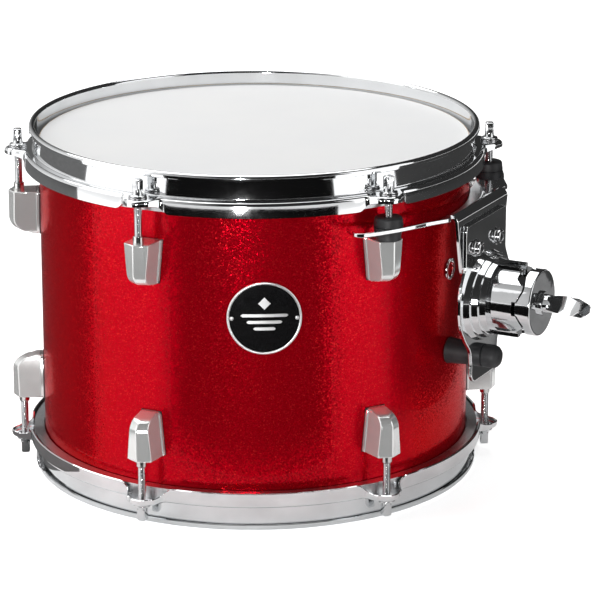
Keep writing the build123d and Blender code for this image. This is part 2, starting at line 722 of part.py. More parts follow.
def make_clamp_cap():
    """Round cap: its wedges sit between the base's jaws, and it carries the other half channel."""
    radius = clamp_cap_diameter / 2
    cap = disc_along_x(radius, neck_floor, clamp_cap_face, 0, clamp_height)
    cap = fillet(cap.edges().filter_by(GeomType.CIRCLE).sort_by(Axis.X)[-1], cap_edge_round)
    back = [
        (neck_floor + 2.6, 0), (neck_floor + 2.6, jaw_step - seam_gap),
        (neck_floor + 3.0 + seam_gap, jaw_step - seam_gap + 0.6),
        (neck_floor + jaw_rise + 1.2, jaw_crest - seam_gap + 0.6),
        (neck_floor + jaw_rise + 1.2, jaw_crest + 4.2), (neck_floor + 5.8, jaw_foot + 1.4),
        (neck_floor + 5.8, clamp_neck_radius + 8),
    ]
    cap &= beyond_seam(back)
    cap += disc_along_x(cap_boss_diameter / 2, clamp_cap_face - 1,
                        clamp_cap_face + cap_boss_height, 0, clamp_height)
    cap -= rod_way(arm_rod_diameter / 2 + arm_rod_clearance)
    pocket = arm_rod_diameter / 2 + eye_wall + 0.3
    cap -= eye_pocket(pocket, eye_height / 2 + 0.3)
    cap -= disc_along_x(stud_diameter / 2 + 0.3, arm_rod_axis, clamp_cap_face + 10, 0,
                        clamp_height)
    return cap


def make_eye_bolt():
    """Eye round the arm rod, with the threaded stud that the wing nut pulls on."""
    eye = eye_pocket(arm_rod_diameter / 2 + eye_wall, eye_height / 2)
    stud_start = arm_rod_axis + arm_rod_diameter / 2 + 1.0
    stud = disc_along_x(stud_diameter / 2, stud_start, stud_end, 0, clamp_height)
    stud = chamfer(stud.edges().sort_by(Axis.X)[-1], 0.8)
    return eye + stud - rod_way(arm_rod_diameter / 2 + arm_rod_clearance)


def make_wing_nut():
    """Wing nut: tapered hub and two wings swept outwards."""
    start = clamp_cap_face + cap_boss_height + turning_gap
    hub = Pos(start + wing_hub_length / 2, 0, 0) * Rotation(0, 90, 0) * Cone(
        wing_hub_diameter / 2, wing_hub_diameter / 2 - 1.0, wing_hub_length)
    nut = hub
    tip = start + wing_length
    root = start + 3.0
    outline = make_face(Polyline(
        (root, -4.5), (root, 4.5), (root + 8, wing_height / 2 - 0.3),
        (tip - 9, wing_height / 2), (tip, wing_height / 2 - 3.5), (tip, -wing_height / 2 + 4.5),
        (tip - 5, -wing_height / 2), (root + 8, -wing_height / 2 + 0.6), close=True))
    outline = fillet(outline.vertices().group_by(Axis.X)[-1], 2.2)
    side_view = extrude(Plane.XZ * outline, wing_spread + 5, both=True)
    for side in (-1, 1):
        inner = [(root, 1.5), (root + 9, 4.6), (root + 18, 7.6), (tip, wing_spread - wing_thickness)]
        outer = [(tip, wing_spread), (root + 17, 7.6 + wing_thickness), (root + 7, 6.6), (root, 5.8)]
        path = [(x, side * y) for x, y in inner + outer]
        strip = extrude(Pos(0, 0, -20) * make_face(Polyline(*path, close=True)), 40)
        nut += strip & side_view
    nut -= disc_along_x(stud_diameter / 2 + running_clearance, start - 1, tip + 5)
    return Pos(0, 0, clamp_height) * Rotation(wing_turn, 0, 0) * nut


# ---- write every node --------------------------------------------------------------------------------------------
def both_ends(shape, name):
    save(shape, f"top_{name}")
    save(flipped(shape), f"bottom_{name}")


def main():
    save(make_shell(), "shell")
    save(make_wrap(), "shell_wrap")
    both_ends(make_film(), "head_film")
    both_ends(make_flesh_hoop(), "flesh_hoop")
    both_ends(make_hoop(), "hoop")

    for name, piece in (("lug", make_lug()), ("tension_rod", make_rod()),
                        ("rod_washer", make_washer())):
        for number, azimuth in enumerate(lug_azimuths, start=1):
            both_ends(turned(piece, azimuth), f"{name}_{number}")

    upper_screws = [make_lug_screw(height) for height in lug_screw_heights]
    groups = (("swivel_nuts", [make_nut()]), ("nut_springs", [make_nut_spring()]),
              ("lug_gaskets", [make_gasket()]), ("lug_screws", upper_screws))
    for node, pieces in groups:
        upper = [turned(piece, azimuth) for azimuth in lug_azimuths for piece in pieces]
        save_group(upper + [flipped(piece) for piece in upper], node)

    save(turned(make_badge(), badge_azimuth), "badge")
    save_group([turned(make_badge_nail(side), badge_azimuth) for side in (-1, 1)], "badge_nails")
    on_mount = (
        ("vent_grommet", [make_vent_grommet()]), ("suspension_arm", [make_arm()]),
        ("mount_plate", [make_plate()]), ("plate_bolts", [make_plate_bolt(s) for s in (-1, 1)]),
        ("rubber_isolators", [make_isolator(s) for s in (-1, 1)]),
        ("lower_bumper", [make_bumper()]), ("clamp_base", [make_clamp_base()]),
        ("clamp_cap", [make_clamp_cap()]), ("eye_bolt", [make_eye_bolt()]),
        ("wing_nut", [make_wing_nut()]),
    )
    for node, pieces in on_mount:
        save_group([turned(piece, mount_azimuth) for piece in pieces], node)


main()
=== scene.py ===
import json
from math import atan2, cos, hypot, pi, radians, sin, sqrt

import bmesh
import bpy
import numpy as np
from mathutils import Matrix, Vector


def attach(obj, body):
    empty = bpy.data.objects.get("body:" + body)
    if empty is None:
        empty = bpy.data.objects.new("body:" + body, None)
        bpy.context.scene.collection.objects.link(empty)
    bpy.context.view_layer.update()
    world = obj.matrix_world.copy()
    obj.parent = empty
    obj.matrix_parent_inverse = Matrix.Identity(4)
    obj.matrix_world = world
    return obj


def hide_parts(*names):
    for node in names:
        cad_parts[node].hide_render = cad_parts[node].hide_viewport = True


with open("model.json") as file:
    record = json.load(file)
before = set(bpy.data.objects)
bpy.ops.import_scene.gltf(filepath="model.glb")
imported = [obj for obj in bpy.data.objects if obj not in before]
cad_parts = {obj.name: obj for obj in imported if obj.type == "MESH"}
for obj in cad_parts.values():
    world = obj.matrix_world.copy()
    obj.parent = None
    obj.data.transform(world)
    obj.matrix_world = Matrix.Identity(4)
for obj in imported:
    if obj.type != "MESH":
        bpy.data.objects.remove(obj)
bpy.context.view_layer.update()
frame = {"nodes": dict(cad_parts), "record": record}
nodes = frame["nodes"]
MM = 0.001

# ---- sizes shared with the CAD frame, in millimetres ---------------------------------------------
HEIGHT = 250.0
WRAP_R = 152.4
ROD_R = 167.0
SEAT = 17.5
LUG_END = 48.5
LUG_LENGTH = 31.0
LUG_AZIMUTHS = [-30.0 + 60.0 * i for i in range(6)]
MOUNT_AZ = 60.0
PLATE_FACE = 180.0
PLATE_TOP = 201.6
PLATE_FOOT = 86.5
CLAMP_Z = 145.0
BUMPER_Z = 101.0
BOLT_Z = 183.0
ISOLATOR_TOP = 217.4
VENT_Z = 160.0


# ---- material helpers ----------------------------------------------------------------------------
class Nodes:
    """A small wrapper that makes a node material readable."""

    def __init__(self, name):
        self.mat = bpy.data.materials.new(name)
        self.mat.use_nodes = True
        self.tree = self.mat.node_tree
        self.tree.nodes.clear()
        self.out = self.tree.nodes.new("ShaderNodeOutputMaterial")
        self.bsdf = self.tree.nodes.new("ShaderNodeBsdfPrincipled")
        self.link(self.bsdf, "BSDF", self.out, "Surface")
        self.coords = self.tree.nodes.new("ShaderNodeTexCoord")

    def add(self, kind, **settings):
        node = self.tree.nodes.new("ShaderNode" + kind)
        for key, value in settings.items():
            setattr(node, key, value)
        return node

    def link(self, a, out, b, into):
        self.tree.links.new(a.outputs[out], b.inputs[into])

    def set(self, **values):
        for key, value in values.items():
            self.bsdf.inputs[key.replace("_", " ")].default_value = value

    def noise(self, scale, detail=3.0, rough=0.5, stretch=None):
        node = self.add("TexNoise")
        node.inputs["Scale"].default_value = scale
        node.inputs["Detail"].default_value = detail
        node.inputs["Roughness"].default_value = rough
        if stretch:
            mapping = self.add("Mapping")
            mapping.inputs["Scale"].default_value = stretch
            self.link(self.coords, "Object", mapping, "Vector")
            self.link(mapping, "Vector", node, "Vector")
        else:
            self.link(self.coords, "Object", node, "Vector")
        return node

    def ramp(self, source, out, stops):
        node = self.add("ValToRGB")
        points = node.color_ramp.elements
        while len(points) < len(stops):
            points.new(0.5)
        for point, (place, colour) in zip(points, stops):
            point.position = place
            point.color = (*colour, 1.0)
        self.link(source, out, node, "Fac")
        return node

    def spread(self, source, out, low, high):
        node = self.add("MapRange")
        node.inputs["To Min"].default_value = low
        node.inputs["To Max"].default_value = high
        self.link(source, out, node, "Value")
        return node

    def bump(self, source, out, strength, distance):
        node = self.add("Bump")
        node.inputs["Strength"].default_value = strength
        node.inputs["Distance"].default_value = distance
        self.link(source, out, node, "Height")
        self.link(node, "Normal", self.bsdf, "Normal")
        return node


def chrome(name, tint=(0.86, 0.87, 0.88), rough=(0.03, 0.09), wave=0.02, grain=220.0, metallic=1.0):
    """Polished plate: faint haze, tiny waviness and a slightly uneven tone."""
    m = Nodes(name)
    m.set(Metallic=metallic)
    haze = m.noise(grain, 4.0, 0.6)
    dark = tuple(c * 0.93 for c in tint)
    tone = m.ramp(m.noise(35.0, 3.0), "Fac", [(0.35, dark), (0.65, tint)])
    m.link(tone, "Color", m.bsdf, "Base Color")
    m.link(m.spread(haze, "Fac", *rough), "Result", m.bsdf, "Roughness")
    m.bump(m.noise(60.0, 2.0), "Fac", wave, 0.001)
    return m.mat


def brushed(name, tint, rough=(0.22, 0.4), stretch=(900.0, 900.0, 60.0)):
    m = Nodes(name)
    m.set(Metallic=1.0)
    lines = m.noise(1.0, 3.0, 0.6, stretch)
    dark = tuple(c * 0.8 for c in tint)
    m.link(m.ramp(lines, "Fac", [(0.3, dark), (0.7, tint)]), "Color", m.bsdf, "Base Color")
    m.link(m.spread(lines, "Fac", *rough), "Result", m.bsdf, "Roughness")
    m.bump(lines, "Fac", 0.1, 0.0002)
    return m.mat


def rubber(name):
    m = Nodes(name)
    m.set(Specular_IOR_Level=0.4)
    grain = m.noise(1500.0, 4.0, 0.7)
    m.link(m.ramp(m.noise(120.0), "Fac", [(0.3, (0.010, 0.010, 0.011)), (0.8, (0.028, 0.028, 0.03))]),
           "Color", m.bsdf, "Base Color")
    m.link(m.spread(grain, "Fac", 0.38, 0.62), "Result", m.bsdf, "Roughness")
    m.bump(grain, "Fac", 0.25, 0.0003)
    return m.mat


def sparkle_wrap(name):
    """Metal flakes of many tilts set in red, under a clear gloss coat."""
    m = Nodes(name)
    cells = m.add("TexVoronoi")
    cells.inputs["Scale"].default_value = 1500.0
    m.link(m.coords, "Object", cells, "Vector")
    split = m.add("SeparateColor")
    m.link(cells, "Color", split, "Color")
    tone = m.ramp(split, "Red", [(0.0, (0.44, 0.0, 0.007)), (0.55, (0.50, 0.001, 0.009)),
                                 (0.90, (0.56, 0.002, 0.012)), (0.99, (0.75, 0.02, 0.02))])
    m.link(tone, "Color", m.bsdf, "Base Color")
    centred = m.add("VectorMath", operation="SUBTRACT")
    centred.inputs[1].default_value = (0.5, 0.5, 0.5)
    m.link(cells, "Color", centred, 0)
    tilt = m.add("VectorMath", operation="SCALE")
    tilt.inputs["Scale"].default_value = 0.16
    m.link(centred, "Vector", tilt, 0)
    geometry = m.add("NewGeometry")
    total = m.add("VectorMath", operation="ADD")
    m.link(geometry, "Normal", total, 0)
    m.link(tilt, "Vector", total, 1)
    unit = m.add("VectorMath", operation="NORMALIZE")
    m.link(total, "Vector", unit, 0)
    m.link(unit, "Vector", m.bsdf, "Normal")
    m.link(m.spread(split, "Green", 0.13, 0.19), "Result", m.bsdf, "Roughness")
    m.set(Metallic=0.72, Specular_IOR_Level=0.08, Specular_Tint=(0.7, 0.03, 0.05, 1),
          Coat_Weight=0.15, Coat_IOR=1.3, Coat_Roughness=0.02)
    return m.mat


def coated_film(name):
    """White coated film: fine sprayed tooth over a slightly milky sheet."""
    m = Nodes(name)
    tooth = m.noise(1700.0, 5.0, 0.75)
    cloud = m.noise(14.0, 3.0)
    m.link(m.ramp(cloud, "Fac", [(0.3, (0.92, 0.925, 0.93)), (0.7, (0.95, 0.95, 0.945))]),
           "Color", m.bsdf, "Base Color")
    m.link(m.spread(tooth, "Fac", 0.45, 0.7), "Result", m.bsdf, "Roughness")
    m.bump(tooth, "Fac", 0.35, 0.0002)
    m.set(Specular_IOR_Level=0.35)
    return m.mat


def ply(name):
    m = Nodes(name)
    grain = m.noise(1.0, 5.0, 0.6, (30.0, 30.0, 900.0))
    m.link(m.ramp(grain, "Fac", [(0.25, (0.50, 0.33, 0.18)), (0.75, (0.72, 0.54, 0.34))]),
           "Color", m.bsdf, "Base Color")
    m.link(m.spread(grain, "Fac", 0.35, 0.55), "Result", m.bsdf, "Roughness")
    m.bump(grain, "Fac", 0.15, 0.0002)
    return m.mat


def enamel(name):
    m = Nodes(name)
    dust = m.noise(900.0, 4.0, 0.7)
    m.link(m.ramp(dust, "Fac", [(0.4, (0.003, 0.003, 0.003)), (0.75, (0.009, 0.009, 0.010))]),
           "Color", m.bsdf, "Base Color")
    m.link(m.spread(m.noise(90.0), "Fac", 0.08, 0.18), "Result", m.bsdf, "Roughness")
    m.bump(m.noise(45.0), "Fac", 0.03, 0.0005)
    m.set(Coat_Weight=0.5, Coat_Roughness=0.03)
    return m.mat


def pale_floor(name):
    m = Nodes(name)
    m.link(m.ramp(m.noise(3.0), "Fac", [(0.3, (0.89, 0.89, 0.89)), (0.7, (0.91, 0.91, 0.91))]),
           "Color", m.bsdf, "Base Color")
    m.set(Roughness=0.8, Specular_IOR_Level=0.2, Emission_Color=(1, 1, 1, 1), Emission_Strength=0.64)
    return m.mat


MAT = {
    "shell_ply": ply("maple_ply"),
    "wrap": sparkle_wrap("red_sparkle_wrap"),
    "head_film": coated_film("coated_film"),
    "flesh_hoop": brushed("drawn_aluminium", (0.75, 0.76, 0.77)),
    "hoop_chrome": chrome("hoop_chrome", (0.84, 0.85, 0.86), wave=0.012),
    "lug_chrome": chrome("lug_chrome", (0.84, 0.85, 0.84), (0.09, 0.15), 0.03, 400.0, 0.7),
    "washer_steel": chrome("washer_steel", (0.74, 0.74, 0.75), (0.14, 0.28)),
    "rod_chrome": chrome("rod_chrome", (0.74, 0.75, 0.76), (0.06, 0.16)),
    "nut_metal": chrome("nut_metal", (0.78, 0.78, 0.77), (0.08, 0.18)),
    "spring_steel": brushed("spring_steel", (0.5, 0.5, 0.52)),
    "gasket_rubber": rubber("gasket_rubber"),
    "screw_steel": brushed("screw_steel", (0.68, 0.68, 0.69)),
    "badge_enamel": enamel("badge_enamel"),
    "badge_metal": chrome("badge_metal", (0.9, 0.9, 0.9), (0.34, 0.46)),
    "vent_metal": chrome("vent_metal", rough=(0.05, 0.14)),
    "mount_chrome": chrome("mount_chrome", wave=0.015),
    "bolt_steel": chrome("bolt_steel", (0.7, 0.7, 0.71), (0.1, 0.22)),
    "black_rubber": rubber("black_rubber"),
    "clamp_chrome": chrome("clamp_chrome", (0.84, 0.85, 0.86), (0.04, 0.09), 0.12, 300.0, 1.0),
    "eye_bolt_steel": chrome("eye_bolt_steel", (0.7, 0.7, 0.71), (0.12, 0.25)),
    "wing_chrome": chrome("wing_chrome", wave=0.03, grain=500.0),
}
SLOT_OF = {s["node"]: s["material_slot"] for s in frame["record"]["subparts"]}
for node_name, obj in nodes.items():
    for index in range(max(1, len(obj.data.materials))):
        if len(obj.data.materials) <= index:
            obj.data.materials.append(MAT[SLOT_OF[node_name]])
        else:
            obj.data.materials[index] = MAT[SLOT_OF[node_name]]


# ---- mesh helpers --------------------------------------------------------------------------------
def smooth(mesh, angle=32.0):
    mesh.polygons.foreach_set("use_smooth", [True] * len(mesh.polygons))
    mesh.set_sharp_from_angle(angle=radians(angle))


def make_mesh(name, points, faces, angle=32.0):
    """Mesh from points in millimetres."""
    mesh = bpy.data.meshes.new(name)
    mesh.from_pydata([tuple(c * MM for c in p) for p in points], [], faces)
    mesh.validate()
    work = bmesh.new()
    work.from_mesh(mesh)
    bmesh.ops.remove_doubles(work, verts=work.verts, dist=1e-7)
    bmesh.ops.recalc_face_normals(work, faces=work.faces)
    work.to_mesh(mesh)
    work.free()
    smooth(mesh, angle)
    return mesh


def grid_faces(rows, cols, close_rows=False, close_cols=True):
    faces = []
    for i in range(rows if close_rows else rows - 1):
        for j in range(cols if close_cols else cols - 1):
            a, b = i, (i + 1) % rows
            c, d = j, (j + 1) % cols
            faces.append((a * cols + c, a * cols + d, b * cols + d, b * cols + c))
    return faces


def lathe(name, profile, count=64, closed=True, angle=32.0):
    """Turn (radius, height) points about Z. A closed profile makes a ring; an open one ends on the axis."""
    points, faces = [], []
    n = len(profile)
    for k in range(count):
        t = 2 * pi * k / count
        points += [(r * cos(t), r * sin(t), z) for r, z in profile]
    for k in range(count):
        nxt = (k + 1) % count
        for j in range(n if closed else n - 1):
            a, b = j, (j + 1) % n
            quad = (k * n + a, nxt * n + a, nxt * n + b, k * n + b)
            faces.append(quad)
    return make_mesh(name, points, faces, angle)


def arc_points(cx, cy, radius, start, end, steps):
    return [(cx + radius * cos(radians(start + (end - start) * i / steps)),
             cy + radius * sin(radians(start + (end - start) * i / steps))) for i in range(steps + 1)]


def rounded(points, radii, steps=5, closed=False):
    """Replace each corner of a polyline with an arc of steps + 1 points."""
    out = []
    n = len(points)
    for i, p in enumerate(points):
        if not closed and i in (0, n - 1):
            out.append(p)
            continue
        a, b = Vector(points[i - 1]), Vector(points[(i + 1) % n])
        here = Vector(p)
        u, v = (a - here).normalized(), (b - here).normalized()
        radius = radii[i]
        half = u.angle(v) / 2
        if radius <= 0 or half > 1.56:
            out += [tuple(here)] * (steps + 1 if radius > 0 else 1)
            continue
        reach = min(radius / np.tan(half), 0.49 * (a - here).length, 0.49 * (b - here).length)
        r = reach * np.tan(half)
        centre = here + (u + v).normalized() * (r / sin(half))
        start, end = here + u * reach, here + v * reach
        a0 = atan2(start.y - centre.y, start.x - centre.x)
        a1 = atan2(end.y - centre.y, end.x - centre.x)
        while a1 - a0 > pi:
            a1 -= 2 * pi
        while a1 - a0 < -pi:
            a1 += 2 * pi
        for k in range(steps + 1):
            t = a0 + (a1 - a0) * k / steps
            out.append((centre.x + r * cos(t), centre.y + r * sin(t)))
    return out


def turn(azimuth):
    """Carries a piece built along +X to its azimuth, from -Y towards +X."""
    return Matrix.Rotation(radians(azimuth - 90), 4, "Z")


LOWER = Matrix.Translation((0, 0, HEIGHT * MM)) @ Matrix.Rotation(pi, 4, "X")


def place(name, mesh, slot, body, replaces=(), matrix=None):
    """Add one piece: its points are carried to where they belong, and the object stays at the origin."""
    if matrix is not None:
        mesh = mesh.copy()
        mesh.transform(matrix)
    mesh.name = name
    if not mesh.materials:
        mesh.materials.append(MAT[slot])
    obj = bpy.data.objects.new(name, mesh)
    bpy.context.scene.collection.objects.link(obj)
    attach(obj, body)
    if replaces:
        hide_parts(*replaces)
    return obj


def bevel(obj, width, segments=3, angle=30.0):
    mod = obj.modifiers.new("edge_round", "BEVEL")
    mod.width = width * MM
    mod.segments = segments
    mod.limit_method = "ANGLE"
    mod.angle_limit = radians(angle)
    mod.harden_normals = False
    mod.use_clamp_overlap = True
    return obj


def extrude_outline(name, outline, low, high):
    """Prism along X of an outline of (across, height) points."""
    n = len(outline)
    points = [(low, across, height) for across, height in outline]
    points += [(high, across, height) for across, height in outline]
    faces = [tuple(range(n)), tuple(range(2 * n - 1, n - 1, -1))]
    faces += [(i, (i + 1) % n, n + (i + 1) % n, n + i) for i in range(n)]
    return make_mesh(name, points, faces)


def join(name, parts, angle=32.0):
    """One mesh from several (mesh, matrix) parts."""
    work = bmesh.new()
    for mesh, matrix in parts:
        extra = mesh.copy()
        extra.transform(matrix)
        work.from_mesh(extra)
        bpy.data.meshes.remove(extra)
    out = bpy.data.meshes.new(name)
    work.to_mesh(out)
    work.free()
    smooth(out, angle)
    return out


def softened(node, name, slot, body, width, dissolve=0.6):
    """The CAD shape with its edges rounded as on a polished casting."""
    source = nodes[node].data
    mesh = bpy.data.meshes.new(name)
    mesh.from_pydata([v.co.copy() for v in source.vertices], [], [tuple(f.vertices) for f in source.polygons])
    work = bmesh.new()
    work.from_mesh(mesh)
    bmesh.ops.remove_doubles(work, verts=work.verts, dist=1e-6)
    bmesh.ops.dissolve_limit(work, angle_limit=radians(dissolve), verts=work.verts, edges=work.edges)
    work.to_mesh(mesh)
    work.free()
    smooth(mesh, 30.0)
    obj = place(name, mesh, slot, body, (node,))
    return bevel(obj, width)


# ---- counter hoops -------------------------------------------------------------------------------
def blend01(t):
    t = min(max(t, 0.0), 1.0)
    return t * t * t * (t * (6 * t - 15) + 10)


def hoop_path(delta):
    """Centre line (radius, depth below the rim plane) of the hoop's steel, delta degrees from a rod."""
    across = abs(ROD_R * sin(radians(delta))) if abs(delta) < 40 else 99.0
    plain = 162.0
    ear = 8.7
    if across < 0.86 * ear:
        reach = ROD_R * cos(radians(delta)) + sqrt(ear * ear - across * across)
    else:
        edge = ROD_R + ear * 0.51
        reach = plain + (edge - plain) * (1 - blend01((across - 0.86 * ear) / 9.0))
    depth = 28.0 - 6.4 * (1 - blend01((across - 9.0) / 13.0))
    flare = 0.5 * blend01((across - 9.0) / 13.0)
    corners = [(158.4, 4.0), (158.4, 0.8), (155.6, 0.8), (155.6, SEAT + 0.8),
               (reach, SEAT + 0.8), (reach + flare, depth)]
    return rounded(corners, [0, 1.35, 1.35, 1.7, 1.9, 0], steps=6)


def hoop_mesh(name):
    local = sorted(set([round(x, 3) for x in np.linspace(-7.6, 7.6, 62)]
                       + [round(x, 3) for x in np.linspace(-30, -7.9, 26)]
                       + [round(x, 3) for x in np.linspace(7.9, 29.2, 25)]))
    half = 0.8
    rings = []
    for azimuth in LUG_AZIMUTHS:
        for delta in local:
            path = np.array(hoop_path(delta))
            step = np.gradient(path, axis=0)
            step /= np.linalg.norm(step, axis=1)[:, None]
            side = np.stack([-step[:, 1], step[:, 0]], 1) * half
            left, right = path + side, path - side
            tip_a = path[0] - step[0] * half * 0.6
            tip_b = path[-1] + step[-1] * half * 0.6
            loop = list(left) + [tip_b] + list(right[::-1]) + [tip_a]
            angle = radians(azimuth + delta)
            rings.append([(r * sin(angle), -r * cos(angle), HEIGHT - d) for r, d in loop])
    points = [p for ring in rings for p in ring]
    faces = grid_faces(len(rings), len(rings[0]), close_rows=True)
    return make_mesh(name, points, faces, 40.0)


upper_hoop = hoop_mesh("hoop_sheet")
place("upper_hoop", upper_hoop, "hoop_chrome", "drum", ("top_hoop",))
place("lower_hoop", upper_hoop, "hoop_chrome", "drum", ("bottom_hoop",), LOWER)


# ---- shell and heads -----------------------------------------------------------------------------
def wrap_mesh():
    """Wrap round the shell: a thin closed band, its edges eased in at top and bottom."""
    low, high = 13.7, 236.3
    columns = 360
    rows = [low, low + 0.25] + list(np.linspace(low + 6, high - 6, 36)) + [high - 0.25, high]
    points = []
    for i, z in enumerate(rows):
        rim = 0.25 if i in (0, len(rows) - 1) else 0.0
        for k in range(columns):
            t = 2 * pi * k / columns
            r = WRAP_R - rim
            points.append((r * cos(t), r * sin(t), z))
    faces = grid_faces(len(rows), columns)
    base = len(points)
    for z in (high, low):
        for k in range(columns):
            t = 2 * pi * k / columns
            points.append(((WRAP_R - 0.55) * cos(t), (WRAP_R - 0.55) * sin(t), z))
    last = (len(rows) - 1) * columns
    for k in range(columns):
        n = (k + 1) % columns
        faces.append((last + k, last + n, base + n, base + k))
        faces.append((base + k, base + n, base + columns + n, base + columns + k))
        faces.append((base + columns + k, base + columns + n, n, k))
    return make_mesh("wrap_sheet", points, faces, 50.0)


place("red_wrap", wrap_mesh(), "wrap", "drum", ("shell_wrap",))


def head_mesh():
    """Film: flat playing area, a soft collar over the bearing edge and a skirt inside the hoop."""
    top = 239.66
    outer = [(0.0, top)] + [(r, top) for r in (30, 60, 90, 115, 130, 140, 146, 149.5)]
    outer += arc_points(149.9, top - 3.1, 3.1, 88, 4, 9)
    outer += [(153.0, top - 7), (153.0, 227.5)]
    inner = [(152.65, 227.5), (152.65, top - 6.5), (152.0, top - 2.2), (149.0, top - 0.4)]
    inner += [(r, top - 0.36) for r in (140, 100, 50, 0.0)]
    return lathe("film_sheet", outer + inner, 180, closed=False, angle=30.0)


film = head_mesh()
place("batter_film", film, "head_film", "drum", ("top_head_film",))
place("resonant_film", film, "head_film", "drum", ("bottom_head_film",), LOWER)


# ---- lugs ----------------------------------------------------------------------------------------
def lug_mesh():
    """Two long front facets that meet in a crease, with a rounded far end; the thin foot is made by
    lug_foot_mesh.
    """
    end = HEIGHT - LUG_END
    far = end - LUG_LENGTH
    front = WRAP_R + 22.3
    levels = []
    corner = 11.0
    for z in np.linspace(end, far + corner, 7):
        levels.append((z, front))
    for k in range(1, 13):
        t = radians(90.0 * k / 12.5)
        levels.append((far + 1.2 + (corner - 1.2) * (1 - sin(t)), front - corner * (1 - cos(t))))
    levels.append((far, front - corner - 3.0))
    rings = []
    for z, reach in levels:
        share = (end - z) / LUG_LENGTH
        half = 9.4 - 3.0 * share
        crease = 4.2 - 0.9 * share
        back = WRAP_R + 0.9
        edge = max(reach - crease, back + 0.5)
        rings.append([(back, -half - 0.5), (edge, -half), (max(reach, back + 1.0), 0.0),
                      (edge, half), (back, half + 0.5)])
    n = 5
    points = [(x, y, z) for ring, (z, _) in zip(rings, levels) for x, y in ring]
    faces = []
    for i in range(len(rings) - 1):
        for j in range(n):
            k = (j + 1) % n
            faces.append((i * n + j, i * n + k, (i + 1) * n + k, (i + 1) * n + j))
    faces.append(tuple(range(n)))
    faces.append(tuple(reversed(range((len(rings) - 1) * n, len(rings) * n))))
    return make_mesh("lug_body", points, faces)


def lug_foot_mesh():
    end = HEIGHT - LUG_END
    far = end - LUG_LENGTH
    outline = rounded([(-7.7, far), (7.7, far), (10.7, end), (-10.7, end)], [3.0, 3.0, 1.2, 1.2], 4, True)
    n = len(outline)
    points = []
    for lift in (0.8, 2.4, 2.8):
        inset = 0.4 if lift > 2.5 else 0.0
        for y, z in outline:
            yy = y * (1 - inset / 9)
            r = WRAP_R + lift
            points.append((sqrt(r * r - yy * yy), yy, z + (inset if z < far + 4 else -inset)))
    faces = grid_faces(3, n)
    faces.append(tuple(range(n)))
    faces.append(tuple(reversed(range(2 * n, 3 * n))))
    return make_mesh("lug_foot", points, faces)


lug_body, lug_foot = lug_mesh(), lug_foot_mesh()


# ---- tension rods, washers, nuts -----------------------------------------------------------------
def thread_mesh(name, radius, depth, pitch, low, high, sides=20, per_turn=6):
    """A right-hand helical thread along Z with a pointed end."""
    rows = int((high - low) / pitch * per_turn)
    points = []
    for i in range(rows + 1):
        z = low + (high - low) * i / rows
        taper = min(1.0, (z - low) / (1.2 * pitch) + 0.25)
        for k in range(sides):
            turn_share = (z / pitch - k / sides) % 1.0
            crest = abs(2 * turn_share - 1)
            r = radius - depth * (1 - min(1.0, 1.35 * crest))
            t = 2 * pi * k / sides
            r = min(r, radius * (0.55 + 0.45 * taper))
            points.append((r * cos(t), r * sin(t), z))
    faces = grid_faces(rows + 1, sides)
    faces.append(tuple(reversed(range(sides))))
    faces.append(tuple(range(rows * sides, (rows + 1) * sides)))
    return make_mesh(name, points, faces, 60.0)


def rod_mesh():
    seat = HEIGHT - SEAT + 1.2 + 0.1
    key_top = HEIGHT - 4.5
    key_low = key_top - 7.6
    head = lathe("rod_flange", [(0, seat), (5.4, seat)] + arc_points(5.4, seat + 0.6, 0.6, -90, 60, 5)
                 + [(3.9, seat + 1.5), (3.45, seat + 2.3), (3.3, key_low), (3.1, key_low + 0.8),
                    (0, key_low + 0.8)], 40, closed=False, angle=35.0)
    half = 2.95
    cut = 0.85
    square = rounded([(-half, -half), (half, -half), (half, half), (-half, half)], [cut] * 4, 3, True)
    key_levels = [(key_low - 0.6, 1.0), (key_top - 0.9, 1.0), (key_top - 0.3, 0.93), (key_top, 0.78)]
    points = [(x * s, y * s, z) for z, s in key_levels for x, y in square]
    n = len(square)
    faces = grid_faces(len(key_levels), n)
    faces.append(tuple(reversed(range(n))))
    faces.append(tuple(range((len(key_levels) - 1) * n, len(key_levels) * n)))
    key = make_mesh("rod_key", points, faces)
    shank = thread_mesh("rod_thread", 2.75, 0.42, 25.4 / 24, seat - 52.0, seat + 0.2)
    eye = Matrix.Identity(4)
    return join("tension_rod", [(head, eye), (key, eye), (shank, eye)], 35.0)


def washer_mesh():
    low = HEIGHT - SEAT + 0.05
    high = low + 1.2
    return lathe("washer", [(3.0, low), (6.0, low), (6.3, low + 0.3), (6.3, high - 0.35),
                            (6.0, high), (3.2, high), (3.0, high - 0.2)], 44)


def nut_mesh():
    top = HEIGHT - LUG_END + 5.0
    base = HEIGHT - LUG_END - 2.4
    return lathe("nut", [(2.85, base - 19), (4.7, base - 19), (4.7, base), (3.7, base),
                         (3.7, top - 0.5), (3.3, top), (3.1, top), (2.85, top - 0.3)], 36)


